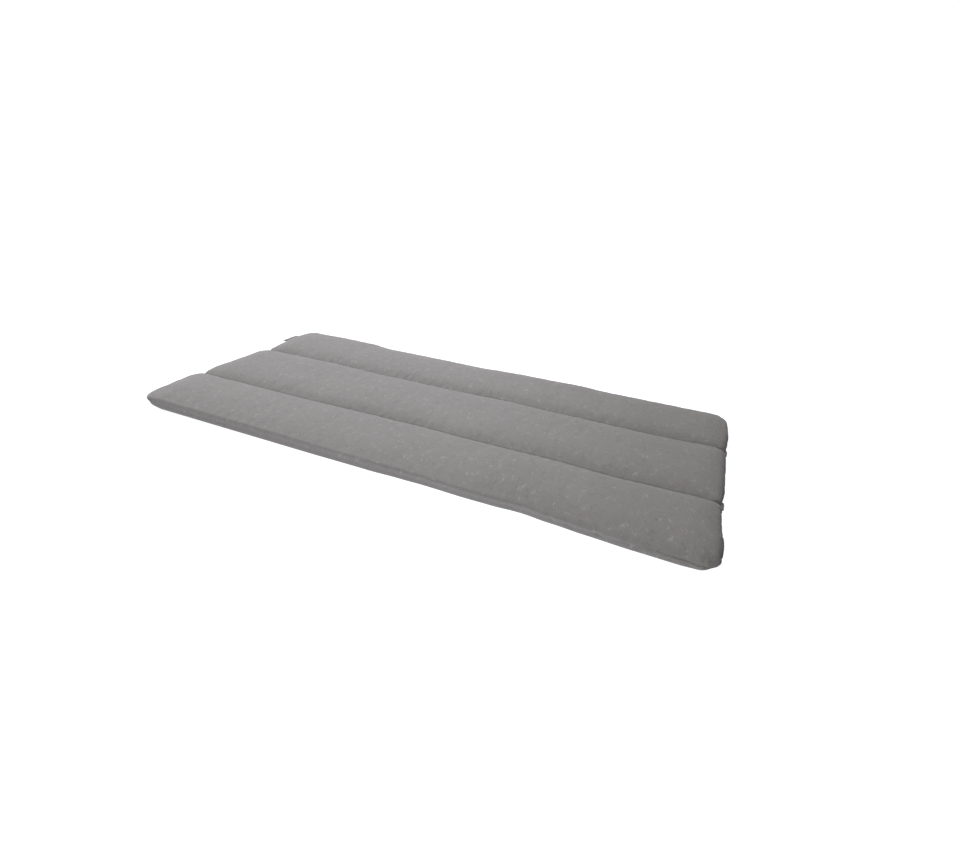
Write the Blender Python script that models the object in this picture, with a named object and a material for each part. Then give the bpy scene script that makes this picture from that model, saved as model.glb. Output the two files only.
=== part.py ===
"""Three-channel seat pad for a two-seat lounge sofa, lying on its back.

One filled cushion: an upper and a lower cover, joined by a narrow side wall and stitched together
along two lengthwise seams, so that the filling stands up as three long panels. Three small folded
tabs of the same cloth are sewn to its ends.

Metres, +Z up. The origin is at the middle of the underside. X runs along the pad, left to right,
and Y runs from the front edge (negative) to the rear edge.
"""
import math

import bmesh
import bpy

# Driving dimensions of the cushion
LENGTH = 1.300
DEPTH = 0.616
FRONT_PANEL_DEPTH = 0.1860
MIDDLE_PANEL_DEPTH = 0.2325
FRONT_LEFT_CORNER = 0.026
FRONT_RIGHT_CORNER = 0.028
REAR_LEFT_CORNER = 0.029
REAR_RIGHT_CORNER = 0.036

HALF_LENGTH = LENGTH / 2
HALF_DEPTH = DEPTH / 2
FRONT_SEAM = -HALF_DEPTH + FRONT_PANEL_DEPTH
REAR_SEAM = FRONT_SEAM + MIDDLE_PANEL_DEPTH

# Upper cover: the height of its border, and how far the panels rise above that
BORDER_HEIGHT = 0.0275
CROWN = 0.0125
CROWN_REACH = 0.080
END_CROWN_REACH = 0.060

# Channels: a steep shoulder beside each seam, and the slower fall of the panels towards it
CHANNEL_DEPTH = 0.009
CHANNEL_SHOULDER = 0.030
PANEL_FALL = (
    {"at": -0.200, "by": 0.0120},
    {"at": 0.150, "by": 0.0095},
)
PANEL_FALL_REACH = 0.100
END_CHANNEL_SHARE = 0.35

# Radius at which the upper cover turns down into the side wall
LEFT_END_ROLL = 0.0060
RIGHT_END_ROLL = (
    {"at": -0.300, "by": 0.0140},
    {"at": -0.260, "by": 0.0120},
    {"at": -0.200, "by": 0.0080},
    {"at": -0.140, "by": 0.0080},
    {"at": -0.070, "by": 0.0160},
    {"at": 0.060, "by": 0.0160},
    {"at": 0.150, "by": 0.0110},
    {"at": 0.280, "by": 0.0090},
)
REAR_ROLL = 0.0065
FRONT_ROLL = (
    {"at": -0.650, "by": 0.0050},
    {"at": -0.300, "by": 0.0045},
    {"at": -0.050, "by": 0.0055},
    {"at": 0.300, "by": 0.0065},
    {"at": 0.480, "by": 0.0090},
    {"at": 0.600, "by": 0.0125},
    {"at": 0.650, "by": 0.0125},
)

# Lower cover
LOWER_CHANNEL_DEPTH = 0.006
LOWER_CHANNEL_SHOULDER = 0.013

# Notches that the two seams pull into each end of the pad
LEFT_NOTCH_DEPTH = 0.003
RIGHT_NOTCH_DEPTH = 0.008
NOTCH_REACH = 0.014

# Side wall, from its top edge down to the floor: the height of each row as a share of the wall,
# and how far it stands out from the plan outline
WALL_ROWS = (
    {"share": 1.00, "out": 0.0000},
    {"share": 0.80, "out": 0.0008},
    {"share": 0.62, "out": 0.0004},
    {"share": 0.50, "out": -0.0012},
    {"share": 0.38, "out": 0.0002},
    {"share": 0.22, "out": 0.0010},
    {"share": 0.09, "out": 0.0000},
    {"share": 0.00, "out": -0.0045},
)
WALL_REACH = 0.034

# At a front corner the border sags a little and the wall leans in below it
CORNER_SAG = 0.0045
CORNER_LEAN = 0.0090
CORNER_REACH = 0.060

# How far each side stands out from its straight line (negative: drawn in), by place along it
FRONT_EDGE_OUT = (
    {"at": -0.640, "by": 0.0000},
    {"at": -0.190, "by": 0.0000},
    {"at": -0.020, "by": -0.0015},
    {"at": 0.060, "by": -0.0045},
    {"at": 0.110, "by": -0.0060},
    {"at": 0.200, "by": -0.0045},
    {"at": 0.250, "by": -0.0055},
    {"at": 0.310, "by": -0.0090},
    {"at": 0.370, "by": -0.0045},
    {"at": 0.430, "by": -0.0010},
    {"at": 0.520, "by": 0.0010},
    {"at": 0.600, "by": 0.0015},
    {"at": 0.640, "by": 0.0055},
)
LEFT_END_OUT = (
    {"at": -0.305, "by": 0.0070},
    {"at": -0.270, "by": 0.0060},
    {"at": -0.240, "by": 0.0050},
    {"at": -0.200, "by": 0.0095},
    {"at": -0.160, "by": 0.0140},
    {"at": -0.110, "by": 0.0090},
    {"at": -0.080, "by": 0.0100},
    {"at": -0.030, "by": 0.0045},
    {"at": 0.030, "by": 0.0025},
    {"at": 0.070, "by": 0.0060},
    {"at": 0.100, "by": 0.0010},
    {"at": 0.130, "by": -0.0010},
    {"at": 0.180, "by": 0.0010},
    {"at": 0.230, "by": 0.0060},
    {"at": 0.290, "by": 0.0020},
)
RIGHT_END_OUT = (
    {"at": -0.305, "by": -0.0020},
    {"at": -0.280, "by": 0.0055},
    {"at": -0.245, "by": 0.0060},
    {"at": -0.205, "by": 0.0004},
    {"at": -0.160, "by": -0.0010},
    {"at": -0.130, "by": -0.0008},
    {"at": -0.095, "by": -0.0008},
    {"at": -0.060, "by": 0.0026},
    {"at": 0.000, "by": 0.0018},
    {"at": 0.050, "by": 0.0018},
    {"at": 0.100, "by": 0.0008},
    {"at": 0.130, "by": -0.0025},
    {"at": 0.152, "by": 0.0008},
    {"at": 0.200, "by": 0.0022},
    {"at": 0.245, "by": 0.0000},
    {"at": 0.290, "by": -0.0035},
)
FRONT_EDGE_REACH = 0.090
END_REACH = 0.060

# How far the front border stands out over the foot of its wall, by place along it
FRONT_OVERHANG = (
    {"at": -0.640, "by": 0.0000},
    {"at": -0.300, "by": 0.0000},
    {"at": -0.050, "by": 0.0025},
    {"at": 0.120, "by": 0.0065},
    {"at": 0.320, "by": 0.0070},
    {"at": 0.450, "by": 0.0060},
    {"at": 0.600, "by": 0.0035},
    {"at": 0.640, "by": 0.0005},
)

# How far each seam wanders off its straight line, towards the rear
FRONT_SEAM_DRIFT = (
    {"at": -0.610, "by": -0.0045},
    {"at": -0.490, "by": -0.0035},
    {"at": -0.370, "by": -0.0035},
    {"at": -0.090, "by": 0.0020},
    {"at": 0.000, "by": 0.0035},
    {"at": 0.120, "by": -0.0010},
    {"at": 0.200, "by": 0.0015},
    {"at": 0.310, "by": 0.0035},
    {"at": 0.440, "by": -0.0015},
    {"at": 0.520, "by": 0.0010},
    {"at": 0.640, "by": 0.0045},
)
REAR_SEAM_DRIFT = (
    {"at": -0.610, "by": -0.0040},
    {"at": -0.500, "by": 0.0000},
    {"at": -0.390, "by": 0.0015},
    {"at": -0.240, "by": -0.0025},
    {"at": -0.160, "by": -0.0005},
    {"at": 0.020, "by": -0.0005},
    {"at": 0.130, "by": 0.0050},
    {"at": 0.260, "by": 0.0000},
    {"at": 0.330, "by": 0.0010},
    {"at": 0.450, "by": -0.0020},
    {"at": 0.520, "by": -0.0005},
    {"at": 0.640, "by": 0.0085},
)

# How far the rear border sags (negative: stands up), by place along it
REAR_SAG = (
    {"at": -0.600, "by": -0.0010},
    {"at": -0.510, "by": -0.0025},
    {"at": -0.410, "by": -0.0020},
    {"at": -0.340, "by": 0.0035},
    {"at": -0.280, "by": 0.0030},
    {"at": -0.150, "by": 0.0025},
    {"at": -0.030, "by": 0.0030},
    {"at": 0.040, "by": 0.0000},
    {"at": 0.100, "by": -0.0018},
    {"at": 0.180, "by": -0.0022},
    {"at": 0.260, "by": -0.0038},
    {"at": 0.340, "by": -0.0010},
    {"at": 0.560, "by": -0.0015},
    {"at": 0.640, "by": -0.0010},
)
REAR_SAG_REACH = 0.090

# Soft hollows of the upper cover
HOLLOWS = (
    {"x": -0.410, "y": -0.020, "half_x": 0.160, "half_y": 0.080, "drop": 0.0015},
    {"x": 0.310, "y": -0.230, "half_x": 0.220, "half_y": 0.060, "drop": 0.0020},
)

# Folded tabs, sewn to the ends: where each stands, its size and the height of its middle
TAB_THICKNESS = 0.0030
TAB_GAP = 0.0005
TAB_CORNER = 0.0022
TABS = (
    {"name": "edge_tab_left", "end": -1, "y": 0.222, "width": 0.058, "out": 0.015, "height": 0.0240},
    {"name": "edge_tab_right_rear", "end": 1, "y": 0.122, "width": 0.026, "out": 0.0035, "height": 0.0120},
    {"name": "edge_tab_right_front", "end": 1, "y": -0.111, "width": 0.026, "out": 0.0035, "height": 0.0120},
)
TAB_STEPS = 16
FACE_STEP = 0.0001

# Mesh lines: distances in from an edge, and distances to either side of a seam
EDGE_LINES = (0.0, 0.0007, 0.0025, 0.0055, 0.0110, 0.0200, 0.0340, 0.0550)
SEAM_LINES = (0.0, 0.0030, 0.0090, 0.0180, 0.0300, 0.0550)
LENGTH_CELLS = 28
PANEL_CELLS = 4

CLOTH_COLOUR = (0.205, 0.200, 0.196)
TAB_COLOUR = (0.150, 0.147, 0.145)
CLOTH_ROUGHNESS = 0.92


def clear_scene():
    for item in list(bpy.data.objects):
        bpy.data.objects.remove(item, do_unlink=True)


def cloth_material(name, colour):
    material = bpy.data.materials.new(name)
    material.use_nodes = True
    shader = material.node_tree.nodes["Principled BSDF"]
    shader.inputs["Base Color"].default_value = (*colour, 1.0)
    shader.inputs["Roughness"].default_value = CLOTH_ROUGHNESS
    shader.inputs["Metallic"].default_value = 0.0
    return material


def shoulder(share):
    """Rises from 0 to 1 as a quarter ellipse does, steeply first, and stays at 1."""
    left = 1.0 - min(max(share, 0.0), 1.0)
    return math.sqrt(1.0 - left * left)


def fade(share):
    """Falls smoothly from 1 to 0 as share goes from 0 to 1."""
    share = min(max(share, 0.0), 1.0)
    return 0.5 + 0.5 * math.cos(math.pi * share)


def from_table(rows, place):
    """What a table's rows give at a place, eased between one row and the next."""
    if place <= rows[0]["at"]:
        return rows[0]["by"]
    for low, high in zip(rows, rows[1:]):
        if place <= high["at"]:
            share = (place - low["at"]) / (high["at"] - low["at"])
            return high["by"] + (low["by"] - high["by"]) * fade(share)
    return rows[-1]["by"]


def seam_distance(y):
    """How far a straight-plan line at y is from the nearer seam."""
    return min(abs(y - FRONT_SEAM), abs(y - REAR_SEAM))


def seam_drift(x, y):
    """How far the seams' wandering moves a point, full on a seam and nothing at the edges."""
    front = from_table(FRONT_SEAM_DRIFT, x)
    rear = from_table(REAR_SEAM_DRIFT, x)
    if y <= FRONT_SEAM:
        return front * (y + HALF_DEPTH) / FRONT_PANEL_DEPTH
    if y >= REAR_SEAM:
        return rear * (HALF_DEPTH - y) / (HALF_DEPTH - REAR_SEAM)
    share = (y - FRONT_SEAM) / MIDDLE_PANEL_DEPTH
    return front + (rear - front) * share


def crown_share(inset, reach):
    """How much of the crown's rise is reached at a distance in from a side, from 0 to 1."""
    left = 1.0 - min(inset / reach, 1.0)
    return 1.0 - left * left


def hollow_drop(x, y):
    """The sum of the soft hollows at a point of the upper cover, the rear border's sag included."""
    total = from_table(REAR_SAG, x) * fade((HALF_DEPTH - y) / REAR_SAG_REACH)
    for row in HOLLOWS:
        far = math.hypot((x - row["x"]) / row["half_x"], (y - row["y"]) / row["half_y"])
        total += row["drop"] * fade(far)
    return total


def channel_drop(x, y):
    """How far the upper cover falls towards the nearer seam."""
    far = seam_distance(y)
    left = 1.0 - min(far / PANEL_FALL_REACH, 1.0)
    steep = CHANNEL_DEPTH * (1.0 - shoulder(far / CHANNEL_SHOULDER))
    return steep + from_table(PANEL_FALL, x) * left * left


def corner_share(x, y):
    """How near a point is to a front corner: 1 at the corner, 0 beyond its reach."""
    far = max(HALF_LENGTH - abs(x), HALF_DEPTH + y)
    return fade(far / CORNER_REACH)


def upper_height(x, y):
    """Height of the upper cover before its rim turns down."""
    along = crown_share(HALF_LENGTH - abs(x), END_CROWN_REACH)
    across = crown_share(HALF_DEPTH - abs(y), CROWN_REACH)
    channel = channel_drop(x, y) * (END_CHANNEL_SHARE + (1.0 - END_CHANNEL_SHARE) * along)
    sag = CORNER_SAG * corner_share(x, y) + hollow_drop(x, y) * along
    return BORDER_HEIGHT + CROWN * along * across - channel - sag


def lower_height(y):
    """Height of the lower cover: on the floor, but for the two seams."""
    return LOWER_CHANNEL_DEPTH * (1.0 - shoulder(seam_distance(y) / LOWER_CHANNEL_SHOULDER))


def plan_point(x, y):
    """Rounds the corners of the plan: the moved point, its outward direction and its inset."""
    if y > 0.0:
        corner = REAR_RIGHT_CORNER if x > 0.0 else REAR_LEFT_CORNER
    else:
        corner = FRONT_RIGHT_CORNER if x > 0.0 else FRONT_LEFT_CORNER
    inset_x = HALF_LENGTH - abs(x)
    inset_y = HALF_DEPTH - abs(y)
    inset = min(inset_x, inset_y)
    sign_x = math.copysign(1.0, x)
    sign_y = math.copysign(1.0, y)
    if max(inset_x, inset_y) < corner:
        radius = corner - inset
        if inset_x <= inset_y:
            angle = math.pi / 4 * (corner - inset_y) / radius
        else:
            angle = math.pi / 2 - math.pi / 4 * (corner - inset_x) / radius
        out_x = math.cos(angle)
        out_y = math.sin(angle)
        x = sign_x * (HALF_LENGTH - corner + radius * out_x)
        y = sign_y * (HALF_DEPTH - corner + radius * out_y)
    elif inset_x < inset_y:
        out_x, out_y = 1.0, 0.0
    else:
        out_x, out_y = 0.0, 1.0
    return x, y, sign_x * out_x, sign_y * out_y, inset


def end_roll(x, y):
    """The radius at which the upper cover turns down at the pad's nearer end, at a place across."""
    return from_table(RIGHT_END_ROLL, y) if x > 0.0 else LEFT_END_ROLL


def roll_radius(x, y, out_x, out_y):
    """The radius at which the upper cover turns down, for the side that a point is nearest to."""
    side = REAR_ROLL if out_y > 0.0 else from_table(FRONT_ROLL, x)
    return end_roll(x, y) * out_x * out_x + side * out_y * out_y


def end_out(x, y):
    """How far the pad's nearer end stands out at a place across it, notches included."""
    if x > 0.0:
        rows, depth = RIGHT_END_OUT, RIGHT_NOTCH_DEPTH
    else:
        rows, depth = LEFT_END_OUT, LEFT_NOTCH_DEPTH
    return from_table(rows, y) - depth * fade(seam_distance(y) / NOTCH_REACH)


def pad_point(x, y, row):
    """The place of a point of the straight plan on wall row `row`; 0 is also the upper cover."""
    px, py, out_x, out_y, inset = plan_point(x, y)
    lean = CORNER_LEAN * corner_share(x, y) * (1.0 - WALL_ROWS[row]["share"])
    stand_out = (WALL_ROWS[row]["out"] - lean) * fade(inset / WALL_REACH)
    roll = roll_radius(x, y, out_x, out_y)
    height = (upper_height(x, y) - roll) * WALL_ROWS[row]["share"]
    if row == 0:
        height += roll * shoulder(inset / roll)
    elif row == len(WALL_ROWS) - 1:
        height += lower_height(y) * shoulder(inset / LOWER_CHANNEL_SHOULDER)
    end_shift = end_out(x, y) * fade((HALF_LENGTH - abs(x)) / END_REACH)
    front_shift = from_table(FRONT_EDGE_OUT, x) + from_table(FRONT_OVERHANG, x) * WALL_ROWS[row]["share"]
    front_shift *= fade((HALF_DEPTH + y) / FRONT_EDGE_REACH)
    px += stand_out * out_x + math.copysign(1.0, x) * end_shift
    py += stand_out * out_y - front_shift + seam_drift(x, y)
    return px, py, height


def between(low, high, cells):
    """Evenly spaced lines strictly between two places."""
    return [low + (high - low) * step / cells for step in range(1, cells)]


def length_lines():
    """Mesh lines along the pad, close together where the ends roll over."""
    left = [-HALF_LENGTH + inset for inset in EDGE_LINES]
    right = [-x for x in reversed(left)]
    return left + between(left[-1], right[0], LENGTH_CELLS) + right


def depth_lines():
    """Mesh lines across the pad, close together at its edges and at both seams."""
    front = [-HALF_DEPTH + inset for inset in EDGE_LINES]
    rear = [-y for y in reversed(front)]
    lines = list(front)
    for seam in (FRONT_SEAM, REAR_SEAM):
        before = [seam - step for step in reversed(SEAM_LINES)]
        after = [seam + step for step in SEAM_LINES[1:]]
        lines += between(lines[-1], before[0], PANEL_CELLS) + before + after
    return lines + between(lines[-1], rear[0], PANEL_CELLS) + rear


def block_of_cells(columns, rows, layers):
    """A closed block of quads, with its corners on whole numbers, counted from one corner."""
    bm = bmesh.new()
    bmesh.ops.create_grid(bm, x_segments=columns, y_segments=rows, size=0.5)
    bmesh.ops.translate(bm, verts=bm.verts, vec=(0.5, 0.5, 0.0))
    bmesh.ops.scale(bm, verts=bm.verts, vec=(columns, rows, 1.0))
    sheet = bm.faces[:] + bm.edges[:]
    raised = bmesh.ops.extrude_face_region(bm, geom=sheet, use_keep_orig=True)
    lid = [item for item in raised["geom"] if isinstance(item, bmesh.types.BMVert)]
    bmesh.ops.translate(bm, verts=lid, vec=(0.0, 0.0, layers))
    uprights = [edge for edge in bm.edges if abs(edge.verts[0].co.z - edge.verts[1].co.z) > 0.5]
    bmesh.ops.subdivide_edges(bm, edges=uprights, cuts=layers - 1)
    bmesh.ops.recalc_face_normals(bm, faces=bm.faces)
    return bm


def new_object(name, bm, material):
    mesh = bpy.data.meshes.new(name)
    bm.to_mesh(mesh)
    bm.free()
    mesh.materials.append(material)
    mesh.shade_smooth()
    item = bpy.data.objects.new(name, mesh)
    bpy.context.scene.collection.objects.link(item)
    return item


def build_cushion(material):
    """The filled pad: a block of cells, each corner moved to its place on the pad."""
    xs = length_lines()
    ys = depth_lines()
    layers = len(WALL_ROWS) - 1
    bm = block_of_cells(len(xs) - 1, len(ys) - 1, layers)
    for vert in bm.verts:
        column, line, level = (round(value) for value in vert.co)
        vert.co = pad_point(xs[column], ys[line], layers - level)
    return new_object("cushion", bm, material)


def wall_out(share):
    """How far the side wall stands out at a share of its height."""
    for high, low in zip(WALL_ROWS, WALL_ROWS[1:]):
        if share >= low["share"]:
            part = (share - low["share"]) / (high["share"] - low["share"])
            return low["out"] + (high["out"] - low["out"]) * part
    return WALL_ROWS[-1]["out"]


def end_face(end, y, height):
    """How far from its middle one end of the pad is, at a place across it and a height."""
    y -= seam_drift(end * HALF_LENGTH, y)
    wall_top = upper_height(end * HALF_LENGTH, y) - end_roll(end, y)
    if height <= wall_top:
        return HALF_LENGTH + end_out(end, y) + wall_out(height / wall_top)
    for step in range(round(EDGE_LINES[-1] / FACE_STEP)):
        px, _, top = pad_point(end * (HALF_LENGTH - step * FACE_STEP), y, 0)
        if top >= height:
            return abs(px)
    raise ValueError("the cover never reaches this height")


def build_tab(row, material):
    """A short folded tab: a thin block with a rounded free edge, shaped to the end it is sewn to."""
    bm = bmesh.new()
    bmesh.ops.create_cube(bm, size=1.0)
    bmesh.ops.translate(bm, verts=bm.verts, vec=(0.5, 0.0, 0.0))
    bmesh.ops.scale(bm, verts=bm.verts, vec=(row["out"], row["width"], TAB_THICKNESS))
    corners = [
        edge for edge in bm.edges
        if min(vert.co.x for vert in edge.verts) > 0.0
        and abs(edge.verts[0].co.z - edge.verts[1].co.z) > 0.0
    ]
    bmesh.ops.bevel(bm, geom=corners, offset=TAB_CORNER, offset_type="OFFSET", segments=3,
                    profile=0.5, affect="EDGES", material=-1)
    cuts = [((0.0, step, 0.0), (0.0, 1.0, 0.0))
            for step in between(-row["width"] / 2, row["width"] / 2, TAB_STEPS)]
    cuts.append(((0.0, 0.0, 0.0), (0.0, 0.0, 1.0)))
    for place, across in cuts:
        bmesh.ops.bisect_plane(bm, geom=bm.verts[:] + bm.edges[:] + bm.faces[:],
                               plane_co=place, plane_no=across)
    sides = (row["y"] - row["width"] / 2, row["y"], row["y"] + row["width"] / 2)
    farthest = max(end_face(row["end"], y, row["height"]) for y in sides)
    for vert in bm.verts:
        height = row["height"] + vert.co.z
        y = row["y"] + vert.co.y
        sewn = vert.co.x == 0.0
        reach = end_face(row["end"], y, height) if sewn else farthest + vert.co.x
        vert.co = (row["end"] * (reach + TAB_GAP), y, height)
    bmesh.ops.recalc_face_normals(bm, faces=bm.faces)
    return new_object(row["name"], bm, material)


def build_pad():
    clear_scene()
    build_cushion(cloth_material("pad_cloth", CLOTH_COLOUR))
    tab_cloth = cloth_material("tab_cloth", TAB_COLOUR)
    for row in TABS:
        build_tab(row, tab_cloth)


build_pad()
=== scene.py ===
import math
import random
import bmesh
import bpy
import numpy as np
from mathutils import Matrix, Vector


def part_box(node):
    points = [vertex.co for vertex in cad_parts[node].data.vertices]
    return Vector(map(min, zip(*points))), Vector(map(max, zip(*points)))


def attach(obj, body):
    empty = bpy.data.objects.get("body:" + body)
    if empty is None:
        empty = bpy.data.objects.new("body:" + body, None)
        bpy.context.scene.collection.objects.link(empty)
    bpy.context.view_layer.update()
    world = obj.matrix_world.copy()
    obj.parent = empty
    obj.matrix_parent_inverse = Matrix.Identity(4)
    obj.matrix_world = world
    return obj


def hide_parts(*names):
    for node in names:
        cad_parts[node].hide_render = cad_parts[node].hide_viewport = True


# Lounge sofa cushion: a thin seat pad of grey woven cloth, sewn into three lengthwise channels,
# with three small folded tabs on its ends. Lying on its back on a plain pale floor.

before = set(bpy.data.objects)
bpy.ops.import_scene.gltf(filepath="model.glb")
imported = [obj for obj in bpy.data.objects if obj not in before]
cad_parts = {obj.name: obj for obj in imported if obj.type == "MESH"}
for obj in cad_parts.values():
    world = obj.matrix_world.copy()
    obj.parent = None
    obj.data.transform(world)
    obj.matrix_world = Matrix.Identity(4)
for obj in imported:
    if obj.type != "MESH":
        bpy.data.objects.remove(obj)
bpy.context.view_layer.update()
low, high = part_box("cushion")
print("frame loaded, pad %.3f x %.3f x %.3f m" % tuple(high - low))


view = {
    "azimuth": 22.13,               # degrees round from straight in front, towards the right end
    "elevation": 26.44,
    "roll": 3.545,
    "distance": 1.3124,
    "target": (0.1020, -0.0083, 0.0),
    "lens": 20.47,
    "sensor": 36.0,
}


def makeCamera():
    azimuth, elevation, roll = (math.radians(view[key]) for key in ("azimuth", "elevation", "roll"))
    back = Vector((math.sin(azimuth) * math.cos(elevation),
                   -math.cos(azimuth) * math.cos(elevation), math.sin(elevation)))
    right = Vector((math.cos(azimuth), math.sin(azimuth), 0.0))
    up = back.cross(right)
    rolledRight = right * math.cos(roll) + up * math.sin(roll)
    rolledUp = up * math.cos(roll) - right * math.sin(roll)
    lens = bpy.data.cameras.new("studioCamera")
    lens.lens = view["lens"]
    lens.sensor_width = view["sensor"]
    lens.clip_start = 0.01
    camera = bpy.data.objects.new("studioCamera", lens)
    bpy.context.scene.collection.objects.link(camera)
    turn = Matrix((rolledRight, rolledUp, back)).transposed().to_4x4()
    camera.matrix_world = Matrix.Translation(Vector(view["target"]) + back * view["distance"]) @ turn
    bpy.context.scene.camera = camera


def finishMesh(name, bm):
    mesh = bpy.data.meshes.new(name)
    bm.to_mesh(mesh)
    bm.free()
    mesh.shade_smooth()
    piece = bpy.data.objects.new(name, mesh)
    bpy.context.scene.collection.objects.link(piece)
    return piece


class Wire:
    # a socket, so that shader maths is plain arithmetic
    def __init__(self, maker, socket):
        self.maker, self.socket = maker, socket

    def __add__(self, other):
        return self.maker.maths("ADD", self, other)

    __radd__ = __add__

    def __sub__(self, other):
        return self.maker.maths("SUBTRACT", self, other)

    def __rsub__(self, other):
        return self.maker.maths("SUBTRACT", other, self)

    def __mul__(self, other):
        return self.maker.maths("MULTIPLY", self, other)

    __rmul__ = __mul__

    def __truediv__(self, other):
        return self.maker.maths("DIVIDE", self, other)

    def __rtruediv__(self, other):
        return self.maker.maths("DIVIDE", other, self)


class NodeMaker:
    # builds the nodes of one material or world, in front of the shader it already has
    def __init__(self, owner, shader="Principled BSDF"):
        owner.use_nodes = True
        self.owner = owner
        self.nodes = owner.node_tree.nodes
        self.links = owner.node_tree.links
        self.shader = self.nodes[shader]

    def plug(self, socket, value):
        if isinstance(value, Wire):
            self.links.new(value.socket, socket)
        else:
            socket.default_value = value

    def node(self, kind, settings, sockets, output=0):
        # a node of that type: its settings are set first, then the values or links of its sockets
        made = self.nodes.new(kind)
        for name, value in settings.items():
            if name == "easing":
                made.color_ramp.interpolation = value
            elif name == "stops":
                while len(made.color_ramp.elements) < len(value):
                    made.color_ramp.elements.new(0.5)
                for element, (place, colour) in zip(made.color_ramp.elements, value):
                    element.position, element.color = place, (*colour, 1.0)
            else:
                setattr(made, name, value)
        for name, value in sockets.items():
            self.plug(made.inputs[name], value)
        return Wire(self, made.outputs[output])

    def maths(self, operation, *values):
        return self.node("ShaderNodeMath", {"operation": operation}, dict(enumerate(values)))

    def mix(self, share, first, second, blend="MIX"):
        # inputs 6 and 7 of a Mix node are its two colours, and output 2 the mixed one
        return self.node("ShaderNodeMix", {"data_type": "RGBA", "blend_type": blend},
                         {0: share, 6: first, 7: second}, output=2)

    def noise(self, vector, scale, detail):
        return self.node("ShaderNodeTexNoise", {}, {"Vector": vector, "Scale": scale, "Detail": detail})

    def within(self, value):
        # keeps a value between 0 and 1
        return self.maths("MINIMUM", self.maths("MAXIMUM", value, 0.0), 1.0)

    def join(self, x, y, z=0.0):
        return self.node("ShaderNodeCombineXYZ", {}, {"X": x, "Y": y, "Z": z})

    def split(self, vector):
        parts = self.node("ShaderNodeSeparateXYZ", {}, {"Vector": vector}).socket.node
        return [Wire(self, socket) for socket in parts.outputs]

    def set(self, **values):
        for name, value in values.items():
            self.plug(self.shader.inputs[name.replace("_", " ")], value)


studio = {
    "floorSize": 30.0,
    "floorColour": (0.22, 0.22, 0.22),
    "floorRoughness": 0.9,
    # how strongly the floor glows, by place along the pad, and its faintly blue tint
    "floorGlow": ((-0.615, 1.04), (-0.602, 0.85), (-0.10, 1.05), (0.35, 1.09), (0.62, 1.02)),
    "floorTint": (0.945, 0.945, 1.0),
    "ambient": 1.17,
    "darkSide": 0.93,               # how much darker the surroundings are towards the right end
    "darkFrom": 0.42,               # they darken where their direction points this far to the right,
    "darkTo": 0.72,                 # and are darkest from here on
    "key": {"place": (-1.04, 0.99, 2.5), "aim": (-0.74, -0.02, 0.0), "size": 0.5, "power": 233.0,
            "colour": (0.94, 0.91, 1.0), "spread": 56.0, "edge": 0.69},
}

# Dark cards lie round the pad's right end and its front left corner, and a low strip stands beside
# the right end. They keep the light of the floor and of the surroundings off, and don't show.
cards = {
    "outlines": (((0.654, 0.330), (0.654, -0.290), (0.672, -0.315), (0.672, -0.600),
                  (1.300, -0.600), (1.300, 0.330)),
                 ((-0.664, -0.250), (-0.618, -0.332), (-0.640, -0.420), (-0.780, -0.250))),
    "height": 0.0012,
    "stripPlace": 0.685,
    "stripTop": ((-0.330, 0.130), (-0.240, 0.130), (-0.170, 0.055), (0.320, 0.055)),  # y, height
    "colour": (0.06, 0.06, 0.06),
}


def makeFloor():
    bm = bmesh.new()
    bmesh.ops.create_grid(bm, x_segments=1, y_segments=1, size=studio["floorSize"] / 2)
    floor = finishMesh("studioFloor", bm)
    places, shares = zip(*studio["floorGlow"])
    first, last, strongest = places[0], places[-1], max(shares)
    stops = [((place - first) / (last - first), [tint * share / strongest for tint in studio["floorTint"]])
             for place, share in studio["floorGlow"]]
    made = NodeMaker(bpy.data.materials.new("studioFloor"))
    x = made.split(made.node("ShaderNodeTexCoord", {}, {}, output="Object"))[0]
    along = made.node("ShaderNodeMapRange", {}, {"Value": x, "From Min": first, "From Max": last})
    glow = made.node("ShaderNodeValToRGB", {"easing": "EASE", "stops": stops}, {"Fac": along})
    made.set(Base_Color=(*studio["floorColour"], 1.0), Roughness=studio["floorRoughness"],
             Emission_Color=glow, Emission_Strength=strongest / min(studio["floorTint"]))
    floor.data.materials.append(made.owner)


def makeCards():
    bm = bmesh.new()
    for outline in cards["outlines"]:
        bm.faces.new([bm.verts.new((x, y, cards["height"])) for x, y in outline])
    top = [(cards["stripPlace"], y, height) for y, height in cards["stripTop"]]
    foot = [(x, y, 0.0) for x, y, _ in reversed(top)]
    bm.faces.new([bm.verts.new(corner) for corner in top + foot])
    card = finishMesh("studioCard", bm)
    made = NodeMaker(bpy.data.materials.new("studioCard"))
    made.set(Base_Color=(*cards["colour"], 1.0), Roughness=1.0)
    card.data.materials.append(made.owner)
    card.visible_camera = False


def makeSurroundings():
    world = bpy.data.worlds.new("studioWorld")
    made = NodeMaker(world, "Background")
    towards = made.split(made.node("ShaderNodeTexCoord", {}, {}, output="Generated"))[0]
    dim = made.node("ShaderNodeMapRange", {"interpolation_type": "SMOOTHSTEP"},
                    {"Value": towards, "From Min": studio["darkFrom"], "From Max": studio["darkTo"],
                     "To Min": 1.0, "To Max": 1.0 - studio["darkSide"]})
    made.set(Color=dim, Strength=studio["ambient"])
    bpy.context.scene.world = world
    bpy.context.scene.view_settings.view_transform = "Standard"


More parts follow.
